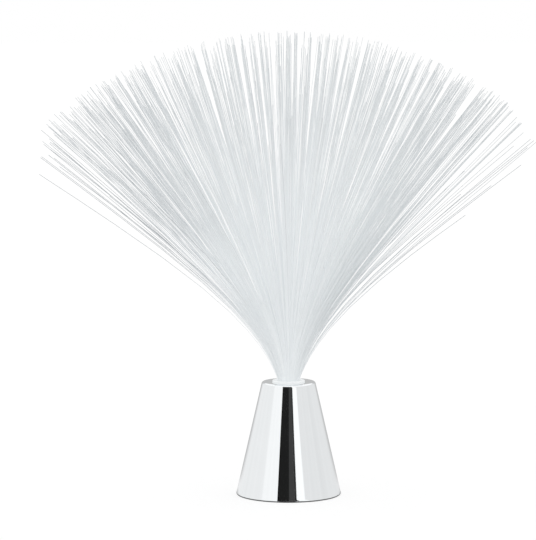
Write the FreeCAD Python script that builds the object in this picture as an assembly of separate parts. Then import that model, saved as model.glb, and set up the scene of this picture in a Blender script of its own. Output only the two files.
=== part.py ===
import FreeCAD, Part
import math
import os

# Battery lamp: a plated cone base, a collar in its top land, and a dome of clear plastic fibres.
# Millimetres, +Z up, origin on the lamp's axis in the plane that its rim stands on.

V = FreeCAD.Vector
UP = V(0, 0, 1)

# Overall sizes
TOTAL_H = 330.0
CONE_BASE_R = 37.5
CONE_TOP_R = 19.0
CONE_TOP_Z = 81.0

# Cone shell
SHELL_WALL = 2.0             # measured level, at the hollow's corners
HOLLOW_SIDES = 24            # the hidden hollow is many-sided, the outside is round
LAND_T = 2.0
RIM_BEVEL = (0.7, 1.0)       # level and upright legs of the small edge bevels
LAND_BEVEL = (1.1, 1.1)
LAND_HOLE_R = 8.65
BOSS_R = 2.8
BOSS_TOP_Z = 22.0
BOSS_SKIN = 1.0              # how far inside the cone's outside a boss ends
BOSS_PILOT_TOP_Z = 16.0

# Base plate
PLATE_R = 34.4
PLATE_Z = 0.8                # the plate sits this far up inside the rim
PLATE_T = 2.0
PLATE_TOP_Z = PLATE_Z + PLATE_T
PAD_R = 3.2                  # raised ring round each base screw
PAD_TOP_Z = 5.4
SCREW_CIRCLE_R = 30.0
SCREW_ANGLES = (42.0, 222.0)
SCREW_TIP_Z = 14.0
RIB_T = 1.2
RIB_TOP_Z = 5.2
RIB_OUT_R = 33.0
RIB_ANGLES = (138.0, 180.0, 318.0)

# Cells: three of the size 10.5 x 44.5, side by side, each turned end for end from the next
CELL_R = 5.25
CELL_LENGTH = 44.5
NUB_R = 1.9
NUB_H = 1.0
CELL_PITCH = 10.9
CELL_Z = 8.35
CELL_WAYS = (1, -1, 1)       # side that each cell's nub points to, along Y

# Battery bay
BAY_HALF_X = 16.55
BAY_HALF_Y = 24.4
BAY_WALL = 2.0
BAY_CEILING_Z = 13.8
BAY_ROOF_T = 1.5
BAY_BEVEL = 2.6              # on the tray's outer upright corners
FRAME_HALF_X = 20.5          # thick collar of the plate round the door opening
FRAME_HALF_Y = 28.4
FRAME_BEVEL = 6.0
FRAME_TOP_Z = 5.2

# Battery door
DOOR_HALF_X = 17.2
DOOR_GAP = 0.3
DOOR_END_Y = 26.7
HINGE_Y = -24.7
HINGE_Z = 2.3
BARREL_R = HINGE_Z - PLATE_Z
TRUNNION_R = 1.0
TRUNNION_LENGTH = 1.4
TRUNNION_CLEARANCE = 0.06
HINGE_POCKET_HALF_Y = 1.95
HINGE_POCKET_TOP_Z = 4.1
LATCH_HALF_X = 4.0
LATCH_Y = 25.9
LATCH_TOP_Z = 6.8
BARB_OUT = 0.6
BARB_Z = 5.1
CATCH_Y = 27.9
LATCH_POCKET_TOP_Z = 7.5
DOOR_RIB_TOP_Z = 4.3
NOTCH_R = 6.0
NOTCH_DEPTH = 1.1
NOTCH_HALF_X = 7.0

# Contacts
PLATE_METAL = 0.4
CONTACT_HALF_X = 3.2
CONTACT_Z = (4.3, 13.3)
TAB_HALF_X = 1.2
TAB_TOP_Z = 17.5
SPRING_WIRE = 0.5
SPRING_BASE_R = 3.0
SPRING_TIP_R = 2.0
SPRING_TURNS = 2.5
SPRING_SIDES = 8

# Slide switch
SWITCH_X = 22.9
SWITCH_BODY = (4.4, 8.6, 4.7)
SWITCH_TRAVEL = 2.0
SWITCH_PIN = 2.5
SWITCH_PIN_STEP = 2.5
SLIDER_BASE = (3.0, 4.0, 1.5)
SLIDER_KNOB = (2.2, 3.0)
SLIDER_TIP_Z = 1.1
SLIDER_REST_Y = -SWITCH_TRAVEL / 2
SWITCH_GAP = 0.2

# Ferrule, its socket, and the light below it
FLANGE_R = 11.5
FLANGE_TOP_Z = 82.0
FERRULE_R = 8.5
FERRULE_Z = 56.0
FERRULE_BORE_R = 7.6
LIGHT_BORE_R = 6.2           # the opening between the light and the bundle's polished end
ROOT_Z = 79.0                # where the glued bundle ends and the free fibres begin
SOCKET_HALF = 10.5
BOARD_HALF = 12.0
BOARD_TOP_Z = 42.0
BOARD_T = 1.6
CLIP_HALF_X = 3.0
CLIP_T = 1.2
CLIP_BITE = 0.7
CLIP_TOP_Z = 46.0
LED_SIDE = 5.0
LED_H = 1.6

# Base screws: shank radius, head radius, head height
BASE_SCREW = (1.1, 2.4, 1.5)

# Leads
LEAD_R = 0.6
LEAD_STUB = 1.2              # straight end of a lead at its joint

# Fibres: rings of strands, each bending outwards until it runs straight
TUFTS = 12
RINGS = 7
STRANDS_PER_RING = 6         # times the ring's number
STRAND_W = 0.68
RING_START_R = 0.36
RING_STEP = 0.78
OUTER_TILT = 44.0            # final tilt of the outer ring, degrees from upright
STRAY_TILT = 56.0
STRAY_EVERY = 3
BEND_LENGTH = 36.0           # the tilt settles over this length of fibre
BEND_HEAD_START = 8.0
STRAY_LENGTH = 236.0
TRIM_SPREAD = 7.0            # cut lengths differ by up to this much
STATIONS = (0.0, 0.09, 0.32, 1.0)
CURVE_STEP = 1.0
GOLDEN = 0.618034


def cylinder(r, z0, z1, x=0.0, y=0.0):
    """An upright cylinder between two heights."""
    return Part.makeCylinder(r, z1 - z0, V(x, y, z0), UP)


def bar(r, half_length, y, z):
    """A round bar along X, centred on the lamp's middle plane."""
    return Part.makeCylinder(r, 2 * half_length, V(-half_length, y, z), V(1, 0, 0))


def box(x0, x1, y0, y1, z0, z1):
    """A box between two corners."""
    return Part.makeBox(x1 - x0, y1 - y0, z1 - z0, V(x0, y0, z0))


def upright_edges(shape):
    """The edges of a prism that run straight up."""
    return [e for e in shape.Edges if abs(e.tangentAt(e.FirstParameter).z) > 0.999]


def bevelled_block(half_x, half_y, bevel, z0, z1):
    """A block with bevelled upright corners."""
    block = box(-half_x, half_x, -half_y, half_y, z0, z1)
    return block.makeChamfer(bevel, upright_edges(block))


def turned(profile):
    """The solid that an (r, z) outline makes when it turns about the lamp's axis."""
    points = [V(r, 0, z) for r, z in profile]
    face = Part.Face(Part.makePolygon(points + points[:1]))
    return face.revolve(V(0, 0, 0), UP, 360)


def polar(r, degrees):
    """The x and y of a point on a circle about the axis."""
    a = math.radians(degrees)
    return r * math.cos(a), r * math.sin(a)


def cone_r(z):
    """Outer radius of the cone at a height."""
    return CONE_BASE_R - (CONE_BASE_R - CONE_TOP_R) * z / CONE_TOP_Z


def many_sided(r, z):
    """The corners of a level regular polygon about the axis."""
    return [V(*polar(r, 360.0 * i / HOLLOW_SIDES), z) for i in range(HOLLOW_SIDES)]


def tapered_hollow(z0, z1):
    """The flat-sided space inside the shell, between two heights."""
    low, high = (many_sided(cone_r(z) - SHELL_WALL, z) for z in (z0, z1))
    outlines = [low, high]
    for i in range(HOLLOW_SIDES):
        j = (i + 1) % HOLLOW_SIDES
        outlines.append([low[i], low[j], high[j], high[i]])
    faces = [Part.Face(Part.makePolygon(corners + corners[:1])) for corners in outlines]
    return Part.Solid(Part.Shell(faces))


def cone_shell():
    """Hollow cone with a land on top, bevelled edges and two screw bosses."""
    ceiling_z = CONE_TOP_Z - LAND_T
    rim_in, rim_up = RIM_BEVEL
    land_in, land_down = LAND_BEVEL
    shoulder_z = CONE_TOP_Z - land_down
    outer = turned([
        (0, 0), (CONE_BASE_R - rim_in, 0), (cone_r(rim_up), rim_up), (cone_r(shoulder_z), shoulder_z),
        (CONE_TOP_R - land_in, CONE_TOP_Z), (0, CONE_TOP_Z),
    ])
    hole = cylinder(LAND_HOLE_R, ceiling_z - 1, CONE_TOP_Z + 1)
    core = turned([
        (0, PAD_TOP_Z), (cone_r(PAD_TOP_Z) - BOSS_SKIN, PAD_TOP_Z),
        (cone_r(BOSS_TOP_Z) - BOSS_SKIN, BOSS_TOP_Z), (0, BOSS_TOP_Z),
    ])
    bosses, pilots = [], []
    for angle in SCREW_ANGLES:
        x, y = polar(SCREW_CIRCLE_R, angle)
        bosses.append(cylinder(BOSS_R, PAD_TOP_Z, BOSS_TOP_Z, x, y).common(core))
        pilots.append(cylinder(BASE_SCREW[0], PAD_TOP_Z - 1, BOSS_PILOT_TOP_Z, x, y))
    return outer.cut([tapered_hollow(-1.0, ceiling_z), hole]).fuse(bosses).cut(pilots)


def bay_cut():
    """The hollow that holds the cells, with the door opening and the hinge and latch pockets."""
    bay = box(-BAY_HALF_X, BAY_HALF_X, -BAY_HALF_Y, BAY_HALF_Y, PLATE_Z - 1, BAY_CEILING_Z)
    opening_x = DOOR_HALF_X + DOOR_GAP
    opening = box(-opening_x, opening_x, HINGE_Y, DOOR_END_Y + DOOR_GAP, PLATE_Z - 1, PLATE_TOP_Z)
    pocket_y = HINGE_Y - HINGE_POCKET_HALF_Y
    pocket = box(-opening_x, opening_x, pocket_y, -pocket_y + 2 * HINGE_Y, PLATE_Z - 1, HINGE_POCKET_TOP_Z)
    latch = box(-LATCH_HALF_X - 0.6, LATCH_HALF_X + 0.6, LATCH_Y - DOOR_GAP, CATCH_Y,
                PLATE_Z - 1, LATCH_POCKET_TOP_Z)
    sockets = bar(TRUNNION_R + TRUNNION_CLEARANCE, DOOR_HALF_X + TRUNNION_LENGTH + 0.2, HINGE_Y, HINGE_Z)
    return bay.fuse([opening, pocket, latch, sockets])


def base_plate():
    """Underside moulding: disc, battery tray, screw pads, ribs, switch cradle and openings."""
    tray = bevelled_block(BAY_HALF_X + BAY_WALL, BAY_HALF_Y + BAY_WALL, BAY_BEVEL,
                          PLATE_Z, BAY_CEILING_Z + BAY_ROOF_T)
    frame = bevelled_block(FRAME_HALF_X, FRAME_HALF_Y, FRAME_BEVEL, PLATE_Z, FRAME_TOP_Z)
    latch_wall = box(-LATCH_HALF_X - 2, LATCH_HALF_X + 2, BAY_HALF_Y, CATCH_Y + 1, PLATE_Z,
                     LATCH_POCKET_TOP_Z + 1)
    pieces = [tray, frame, latch_wall]
    for angle in RIB_ANGLES:
        rib = box(0, RIB_OUT_R, -RIB_T / 2, RIB_T / 2, PLATE_Z, RIB_TOP_Z)
        rib.rotate(V(0, 0, 0), UP, angle)
        pieces.append(rib)
    for angle in SCREW_ANGLES:
        pieces.append(cylinder(PAD_R, PLATE_Z, PAD_TOP_Z, *polar(SCREW_CIRCLE_R, angle)))
    half_x = SWITCH_BODY[0] / 2
    half_y = SWITCH_BODY[1] / 2
    for side in (-1, 1):
        end = side * (half_y + 0.1)
        pieces.append(box(SWITCH_X - half_x, SWITCH_X + half_x, min(end, end + side), max(end, end + side),
                          PLATE_Z, PLATE_TOP_Z + SWITCH_BODY[2] - 1))
    plate = cylinder(PLATE_R, PLATE_Z, PLATE_TOP_Z).fuse(pieces).removeSplitter().cut(bay_cut())

    shank_r, head_r, _ = BASE_SCREW
    cuts = []
    for angle in SCREW_ANGLES:
        x, y = polar(SCREW_CIRCLE_R, angle)
        cuts.append(cylinder(head_r + 0.2, PLATE_Z - 1, PLATE_TOP_Z, x, y))
        cuts.append(cylinder(shank_r + 0.25, PLATE_Z, PAD_TOP_Z + 1, x, y))
    slot_x = SLIDER_KNOB[0] / 2 + SWITCH_GAP
    slot_y = (SLIDER_KNOB[1] + SWITCH_TRAVEL) / 2 + SWITCH_GAP
    cuts.append(box(SWITCH_X - slot_x, SWITCH_X + slot_x, -slot_y, slot_y, PLATE_Z - 1, PLATE_TOP_Z))
    for x, y in tab_places():
        cuts.append(box(x - TAB_HALF_X - 0.2, x + TAB_HALF_X + 0.2, y - PLATE_METAL, y + PLATE_METAL,
                        BAY_CEILING_Z - 1, BAY_CEILING_Z + BAY_ROOF_T + 1))
    return plate.cut(cuts)


def battery_door():
    """Cover with a hinge barrel and two trunnions at one end and a latch tongue at the other."""
    leaf = box(-DOOR_HALF_X, DOOR_HALF_X, HINGE_Y, DOOR_END_Y, PLATE_Z, PLATE_TOP_Z)
    corners = [e for e in upright_edges(leaf) if e.CenterOfMass.y > 0]
    leaf = leaf.makeFillet(2.0, corners)
    barrel = bar(BARREL_R, DOOR_HALF_X, HINGE_Y, HINGE_Z)
    trunnions = bar(TRUNNION_R, DOOR_HALF_X + TRUNNION_LENGTH, HINGE_Y, HINGE_Z)
    tongue = box(-LATCH_HALF_X, LATCH_HALF_X, LATCH_Y, DOOR_END_Y, PLATE_TOP_Z, LATCH_TOP_Z)
    tip_y = DOOR_END_Y + BARB_OUT
    barb_side = [V(-LATCH_HALF_X, DOOR_END_Y, BARB_Z), V(-LATCH_HALF_X, tip_y, BARB_Z + 0.3),
                 V(-LATCH_HALF_X, DOOR_END_Y, LATCH_TOP_Z)]
    barb = Part.Face(Part.makePolygon(barb_side + barb_side[:1])).extrude(V(2 * LATCH_HALF_X, 0, 0))
    ribs = [box(side * CELL_PITCH / 2 - 0.5, side * CELL_PITCH / 2 + 0.5, -18, 20, PLATE_TOP_Z, DOOR_RIB_TOP_Z)
            for side in (-1, 1)]
    door = leaf.fuse([barrel, trunnions, tongue, barb] + ribs).removeSplitter()
    notch = bar(NOTCH_R, NOTCH_HALF_X, DOOR_END_Y - 6, PLATE_Z - NOTCH_R + NOTCH_DEPTH)
    return door.cut(notch)


def battery_cell(index):
    """One cell: a can with a nub at its positive end."""
    way = CELL_WAYS[index]
    x = (index - 1) * CELL_PITCH
    nub_tip = way * (BAY_HALF_Y - PLATE_METAL)
    along = V(0, -way, 0)
    nub = Part.makeCylinder(NUB_R, NUB_H, V(x, nub_tip, CELL_Z), along)
    can = Part.makeCylinder(CELL_R, CELL_LENGTH - NUB_H, V(x, nub_tip - way * NUB_H, CELL_Z), along)
    return can.fuse(nub)


def tab_places():
    """Where the two outer contacts come up through the bay's roof."""
    inset = BAY_HALF_Y - PLATE_METAL / 2
    return [(-CELL_PITCH, -inset), (CELL_PITCH, inset)]


def contact_plate(x0, x1, side, tab_x=None):
    """Flat spring-steel contact against an end wall of the bay, with or without a solder tab."""
    wall_y = side * BAY_HALF_Y
    face_y = side * (BAY_HALF_Y - PLATE_METAL)
    y0, y1 = min(wall_y, face_y), max(wall_y, face_y)
    plate = box(x0, x1, y0, y1, *CONTACT_Z)
    if tab_x is not None:
        plate = plate.fuse(box(tab_x - TAB_HALF_X, tab_x + TAB_HALF_X, y0, y1, CONTACT_Z[1] - 1, TAB_TOP_Z))
    return plate.removeSplitter()


def contact_plates():
    """The negative and positive contacts and the two bridges that join the cells in a row."""
    reach = CONTACT_HALF_X
    return {
        "contact_negative": contact_plate(-CELL_PITCH - reach, -CELL_PITCH + reach, -1, -CELL_PITCH),
        "contact_bridge_1": contact_plate(-CELL_PITCH - reach, reach, 1),
        "contact_bridge_2": contact_plate(-reach, CELL_PITCH + reach, -1),
        "contact_positive": contact_plate(CELL_PITCH - reach, CELL_PITCH + reach, 1, CELL_PITCH),
    }


def contact_spring(index):
    """Cone-shaped wire spring between a contact plate and the flat end of a cell."""
    way = CELL_WAYS[index]
    x = (index - 1) * CELL_PITCH
    base_y = -way * (BAY_HALF_Y - PLATE_METAL)
    length = 2 * BAY_HALF_Y - 2 * PLATE_METAL - CELL_LENGTH
    climb = length - SPRING_WIRE
    count = int(SPRING_TURNS * SPRING_SIDES)
    points = []
    for i in range(count + 1):
        part = i / count
        r = SPRING_BASE_R + (SPRING_TIP_R - SPRING_BASE_R) * part
        a = 2 * math.pi * i / SPRING_SIDES
        y = base_y + way * (SPRING_WIRE / 2 + climb * part)
        points.append(V(x + r * math.cos(a), y, CELL_Z + r * math.sin(a)))
    return mitred_tube(points, SPRING_WIRE / math.sqrt(2), 4, 45.0)


def mitred_tube(points, r, sides, turn=0.0):
    """A straight-sided tube with a regular polygon section, mitred at each point of its path."""
    way = points[1] - points[0]
    way.normalize()
    across = way.cross(UP) if abs(way.z) < 0.9 else way.cross(V(1, 0, 0))
    across.normalize()
    other = way.cross(across)
    ring = []
    for i in range(sides):
        a = math.radians(turn) + 2 * math.pi * i / sides
        ring.append(points[0] + across * (r * math.cos(a)) + other * (r * math.sin(a)))
    profile = Part.makePolygon(ring + ring[:1])
    return Part.makePolygon(points).makePipeShell([profile], True, False, 1)


def switch_body():
    """Switch housing with a cavity for the slider and three terminals."""
    wide, long, tall = SWITCH_BODY
    top = PLATE_TOP_Z + tall
    housing = box(SWITCH_X - wide / 2, SWITCH_X + wide / 2, -long / 2, long / 2, PLATE_TOP_Z, top)
    hollow_x = SLIDER_BASE[0] / 2 + SWITCH_GAP
    hollow_y = (SLIDER_BASE[1] + SWITCH_TRAVEL) / 2 + SWITCH_GAP
    housing = housing.cut(box(SWITCH_X - hollow_x, SWITCH_X + hollow_x, -hollow_y, hollow_y,
                              PLATE_TOP_Z, PLATE_TOP_Z + SLIDER_BASE[2] + 0.3))
    pins = [box(SWITCH_X - 0.5, SWITCH_X + 0.5, y - 0.2, y + 0.2, top, top + SWITCH_PIN)
            for y in (-SWITCH_PIN_STEP, 0, SWITCH_PIN_STEP)]
    return housing.fuse(pins)


def switch_slider():
    """Slider: a base that runs in the housing and a grooved knob that shows in the plate's slot."""
    base_z = PLATE_TOP_Z + 0.1
    half_x, half_y = SLIDER_BASE[0] / 2, SLIDER_BASE[1] / 2
    y = SLIDER_REST_Y
    base = box(SWITCH_X - half_x, SWITCH_X + half_x, y - half_y, y + half_y, base_z, base_z + SLIDER_BASE[2])
    knob_x, knob_y = SLIDER_KNOB[0] / 2, SLIDER_KNOB[1] / 2
    knob = box(SWITCH_X - knob_x, SWITCH_X + knob_x, y - knob_y, y + knob_y, SLIDER_TIP_Z, base_z)
    grooves = [box(SWITCH_X - 2, SWITCH_X + 2, y + i * 0.9 - 0.2, y + i * 0.9 + 0.2,
                   SLIDER_TIP_Z - 0.5, SLIDER_TIP_Z + 0.4) for i in (-1, 0, 1)]
    return base.fuse(knob).removeSplitter().cut(grooves)


def base_screw(angle):
    """Pan-head screw driven upwards through the base plate into a boss of the shell."""
    x, y = polar(SCREW_CIRCLE_R, angle)
    shank_r, head_r, head_h = BASE_SCREW
    head = cylinder(head_r, PLATE_TOP_Z - head_h, PLATE_TOP_Z, x, y)
    return head.fuse(cylinder(shank_r, PLATE_TOP_Z, SCREW_TIP_Z, x, y))


def ferrule():
    """Collar that holds the bundle: a flange on the land and a tube below it."""
    return turned([
        (FERRULE_BORE_R, FERRULE_Z), (FERRULE_R, FERRULE_Z), (FERRULE_R, CONE_TOP_Z), (FLANGE_R, CONE_TOP_Z),
        (FLANGE_R, FLANGE_TOP_Z), (FERRULE_BORE_R, FLANGE_TOP_Z),
    ])


def ferrule_socket():
    """Square socket that grips the ferrule under the land and clips the board below the light."""
    block = box(-SOCKET_HALF, SOCKET_HALF, -SOCKET_HALF, SOCKET_HALF, BOARD_TOP_Z, CONE_TOP_Z - LAND_T)
    bores = [cylinder(FERRULE_R, FERRULE_Z, CONE_TOP_Z), cylinder(LIGHT_BORE_R, BOARD_TOP_Z - 1, FERRULE_Z)]
    inner = BOARD_HALF + 0.1
    hook_z = BOARD_TOP_Z - BOARD_T
    outline = [
        (SOCKET_HALF, BOARD_TOP_Z + 2), (inner, BOARD_TOP_Z + 2), (inner, hook_z), (inner - CLIP_BITE, hook_z),
        (inner + CLIP_T, hook_z - 1.4), (inner + CLIP_T, CLIP_TOP_Z - 2), (SOCKET_HALF, CLIP_TOP_Z),
    ]
    clips = []
    for side in (-1, 1):
        points = [V(-CLIP_HALF_X, side * y, z) for y, z in outline]
        clips.append(Part.Face(Part.makePolygon(points + points[:1])).extrude(V(2 * CLIP_HALF_X, 0, 0)))
    return block.cut(bores).fuse(clips).removeSplitter()


def circuit_board():
    """Square board that closes the socket from below."""
    return box(-BOARD_HALF, BOARD_HALF, -BOARD_HALF, BOARD_HALF, BOARD_TOP_Z - BOARD_T, BOARD_TOP_Z)


def led():
    """Square surface-mounted light with bevelled top edges."""
    half = LED_SIDE / 2
    top = BOARD_TOP_Z + LED_H
    chip = box(-half, half, -half, half, BOARD_TOP_Z, top)
    return chip.makeChamfer(LED_H / 4, [e for e in chip.Edges if abs(e.CenterOfMass.z - top) < 0.01])


def lead(*points):
    """An insulated lead that leaves its first point and meets its last one upright."""
    first, last = points[0], points[-1]
    second = first + V(0, 0, LEAD_STUB)
    landing = last - V(0, 0, math.copysign(LEAD_STUB, last.z - points[-2].z))
    return mitred_tube([first, second, *points[1:-1], landing, last], LEAD_R, 6)


def leads():
    """The three leads between the contacts, the switch and the board."""
    board_z = BOARD_TOP_Z - BOARD_T
    over_z = TAB_TOP_Z + 3
    pin_z = PLATE_TOP_Z + SWITCH_BODY[2] + SWITCH_PIN
    (neg_x, neg_y), (pos_x, pos_y) = tab_places()
    return {
        "lead_positive": lead(V(pos_x, pos_y, TAB_TOP_Z), V(pos_x, pos_y - 2, over_z + 3), V(8, 12, 31),
                              V(6, 8, board_z)),
        "lead_negative": lead(V(neg_x, neg_y, TAB_TOP_Z), V(neg_x + 4, neg_y + 1, over_z), V(10, -16, over_z + 1),
                              V(19.5, -6, over_z - 2), V(SWITCH_X, -SWITCH_PIN_STEP, pin_z)),
        "lead_switch": lead(V(SWITCH_X, 0, pin_z), V(SWITCH_X - 1, 0, 22), V(15, -2, 33), V(8, -7, board_z)),
    }


def fibre_plug():
    """The bundle's root: fibres set in clear resin in the ferrule, polished flat below."""
    return cylinder(FERRULE_BORE_R, FERRULE_Z, ROOT_Z)


def strand_points(start_r, tilt, length):
    """Centre line of a strand in its own upright plane: (r, z) at each station."""
    marks = [s * length for s in STATIONS]
    r, z, run = start_r, ROOT_Z, 0.0
    points = [(r, z)]
    for mark in marks[1:]:
        while run < mark - 1e-9:
            step = min(CURVE_STEP, mark - run)
            settled = 1 - math.exp(-(run + step / 2 + BEND_HEAD_START) / BEND_LENGTH)
            lean = math.radians(tilt * settled)
            r += step * math.sin(lean)
            z += step * math.cos(lean)
            run += step
        points.append((r, z))
    return points


def strand(start_r, azimuth, tilt, length):
    """One square strand, drawn as a mitred strip in its upright plane and given its width."""
    points = strand_points(start_r, tilt, length)
    leans = [math.atan2(b[0] - a[0], b[1] - a[1]) for a, b in zip(points, points[1:])]
    inner, outer = [], []
    for i, (r, z) in enumerate(points):
        before, after = leans[max(i - 1, 0)], leans[min(i, len(leans) - 1)]
        lean = (before + after) / 2 if i else 0.0
        reach = STRAND_W / 2 / math.cos((after - before) / 2) if i else STRAND_W / 2
        dr, dz = reach * math.cos(lean), -reach * math.sin(lean)
        inner.append(V(r - dr, -STRAND_W / 2, z - dz))
        outer.append(V(r + dr, -STRAND_W / 2, z + dz))
    outline = inner + outer[::-1]
    solid = Part.Face(Part.makePolygon(outline + outline[:1])).extrude(V(0, STRAND_W, 0))
    solid.rotate(V(0, 0, 0), UP, azimuth)
    return solid


def fibre_tufts():
    """All strands, gathered into equal sectors round the axis."""
    reach = TOTAL_H - ROOT_Z
    tufts = [[] for _ in range(TUFTS)]
    tufts[0].append(strand(0.0, 0.0, 0.0, reach))
    number = 0
    for ring in range(1, RINGS + 1):
        count = STRANDS_PER_RING * ring
        for i in range(count):
            number += 1
            azimuth = 360.0 * (i + 0.5) / count
            share = ring / RINGS
            trim = TRIM_SPREAD * (number * GOLDEN % 1.0)
            tilt, length = OUTER_TILT * share, reach - trim
            if ring == RINGS and i % STRAY_EVERY == 1:
                tilt, length = STRAY_TILT, STRAY_LENGTH
            solid = strand(RING_START_R + RING_STEP * ring, azimuth, tilt, length)
            tufts[int(azimuth * TUFTS / 360.0)].append(solid)
    return {f"fibre_tuft_{k + 1:02d}": Part.makeCompound(solids) for k, solids in enumerate(tufts)}


def all_nodes():
    """Every sub-part by name."""
    nodes = {
        "cone_shell": cone_shell(),
        "base_plate": base_plate(),
        "battery_door": battery_door(),
        "switch_body": switch_body(),
        "switch_slider": switch_slider(),
        "ferrule": ferrule(),
        "ferrule_socket": ferrule_socket(),
        "circuit_board": circuit_board(),
        "led": led(),
        "fibre_plug": fibre_plug(),
    }
    nodes.update(contact_plates())
    nodes.update(leads())
    nodes.update(fibre_tufts())
    for i in range(len(CELL_WAYS)):
        nodes[f"battery_cell_{i + 1}"] = battery_cell(i)
        nodes[f"contact_spring_{i + 1}"] = contact_spring(i)
    for i, angle in enumerate(SCREW_ANGLES):
        nodes[f"base_screw_{i + 1}"] = base_screw(angle)
    return nodes


os.makedirs("parts", exist_ok=True)
for name, shape in all_nodes().items():
    shape.exportStep(f"parts/{name}.step")
    print(name, len(shape.Solids), shape.isValid(), round(shape.Volume, 2))
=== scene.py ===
import math
import random

import bpy
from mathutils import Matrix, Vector


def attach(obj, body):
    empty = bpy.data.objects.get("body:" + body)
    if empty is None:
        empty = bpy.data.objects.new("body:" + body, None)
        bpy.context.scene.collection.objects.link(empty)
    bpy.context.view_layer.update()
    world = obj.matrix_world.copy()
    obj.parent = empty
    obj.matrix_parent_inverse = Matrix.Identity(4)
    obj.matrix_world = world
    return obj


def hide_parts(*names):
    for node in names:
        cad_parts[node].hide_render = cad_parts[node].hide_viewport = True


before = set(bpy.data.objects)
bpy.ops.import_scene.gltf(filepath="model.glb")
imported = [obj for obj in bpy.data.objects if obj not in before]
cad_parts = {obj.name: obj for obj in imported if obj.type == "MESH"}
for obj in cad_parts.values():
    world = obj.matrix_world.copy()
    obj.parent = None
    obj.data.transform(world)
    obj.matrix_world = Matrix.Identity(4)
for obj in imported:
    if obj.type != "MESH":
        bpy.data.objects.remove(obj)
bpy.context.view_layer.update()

# Battery lamp: a plated cone, a white collar and a dome of clear plastic fibres, +Z up.
# Sizes are in millimetres and angles in degrees, except where a comment gives metres.

MM = 0.001

# Camera, in metres: 2.4 m in front, a little above the spray. The frame is 536 x 540 pixels.
FRAME_LONG_SIDE = 540
CAMERA_AT = (0.0, -2.400, 0.432)
CAMERA_AIM = (0.0, 0.0, 0.165)
FOCAL_PIXELS = 3405
AXIS_OFFSET_PIXELS = (20.6, 5.9)      # how far right of and above the middle the aim point sits
SENSOR_W = 36.0

# Plated cone
CONE_BASE_R = 37.5
CONE_TOP_R = 19.0
CONE_H = 81.0
CONE_WALL = 2.0
CONE_SIDES = 256
FLANK_Z = (2.0, 20.0, 40.0, 60.0, 79.2)
FOOT_EDGE_R = 1.0
SHOULDER_EDGE_R = 1.6
LAND_T = 2.0
LAND_HOLE_R = 8.65
LAND_HOLE_EDGE_R = 0.3
CEILING_BEVEL = (0.5, 0.6)            # inside, under the land: inwards and down
INSIDE_Z = 40.0
RIM_BEVEL = (0.3, 0.4)                # inside, at the rim: outwards and up

# Collar
FLANGE_R = 11.5
FLANGE_TOP_Z = 82.0
FLANGE_EDGE_R = 0.4
COLLAR_TUBE_R = 8.5
COLLAR_FOOT_Z = 56.0
COLLAR_BORE_R = 7.6
COLLAR_MOUTH_EDGE_R = 0.5
COLLAR_SIDES = 96

# Underside
PLATE_Z = 0.8
SCREW_CIRCLE_R = 30.0
SCREW_TURNS = (42.0, 222.0)
SCREW_HEAD_R = 2.4
SCREW_HEAD_Z = (1.3, 2.8)             # its lowest point and its seat
SCREW_HEAD_EDGE_R = 0.7
SCREW_HEAD_ANGLES = (24.0, 34.5, 45.0, 55.5, 66.0)   # corners between two arms of the cross
SCREW_SHANK_R = 1.1
SCREW_TIP_R = 0.4
SCREW_TIP_Z = 14.0
THREAD_PITCH = 0.9
THREAD_DEPTH = 0.25
THREAD_RINGS = 6                      # rings of corners in one turn
THREAD_GAPS = (0.4, 0.8)              # without thread, at the seat and at the tip
CROSS_ARM = (1.3, 0.3)                # length and half width at the mouth
CROSS_DEPTH = 0.8
CROSS_FLOOR = 0.55                    # its floor as a share of its mouth
WORD_AT = (22.9, 5.0)                 # ON; OFF is at the other end of the switch
LETTER_SIZE = 2.3
LETTER_DEPTH = 0.12
ARROW_Y = 14.0
ARROW = ((-0.7, -3.0), (0.7, -3.0), (0.7, 0.0), (2.2, 0.0), (0.0, 3.0), (-2.2, 0.0), (-0.7, 0.0))
ARROW_PROUD = 0.2
ARROW_SUNK = 0.1
SOFT_EDGES = {"base_plate": 0.15, "battery_door": 0.15, "switch_slider": 0.12, "switch_body": 0.15}
SOFT_EDGE_ANGLE = 50
WELD_GAP = 0.002

# Fibres: a share runs from 0 at a fibre's root, or at the dome's middle, to 1 at its tip or edge
TUFTS = 12
FIBRES = 1300
FIBRE_R = 0.165
FIBRE_SIDES = 5
FIBRE_STOPS = (0, 3, 7, 12, 18, 26, 36, 50, 70, 100, 140, 185, 220, 256)
FIBRE_STEP = 3.0
ROOT_Z = 79.0
ROOT_R = 6.5
TOP_Z = 330.0
GOLDEN_ANGLE = 137.50776
DOME_TILT = 44.0
DOME_LEAN = 0.05                      # how much further the dome tilts on the left
BEND_LENGTH = (36.0, 54.0)            # for the dome, and for the fibres that stray furthest from it
BEND_HEAD_START = (8.0, 20.0)         # for the same two: how much of the bend lies below the root
STRAY_TILT = 59.5
STRAYS = (                            # turn about the axis, final tilt, length
    (180, 57.0, 238), (173, 54.2, 240), (187, 53.0, 238), (177, 52.0, 230), (190, 51.4, 236),
    (183, 50.4, 242), (168, 51.0, 240), (194, 49.4, 243), (179, 49.0, 242), (171, 48.6, 244),
    (0, 55.8, 172), (4, 53.5, 200), (-5, 53.0, 226), (7, 52.0, 238), (2, 50.2, 243), (9, 47.0, 246),
    (1, 46.2, 247), (-2, 45.9, 246), (-7, 45.6, 247), (5, 45.0, 248), (-9, 44.7, 246), (-4, 44.2, 248),
    (8, 43.8, 248), (6, 43.4, 249), (-1, 42.8, 250), (-6, 42.3, 249), (3, 41.9, 250), (-8, 41.5, 250),
    (10, 41.1, 251), (-3, 40.6, 250), (7, 40.0, 251),
    (36, 56.0, 214), (142, 57.0, 220), (222, 56.0, 216), (318, 55.0, 212))
REACH_LIMIT = (176.5, 181.0)          # furthest a tip may lie from the axis, sideways and in depth
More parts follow.
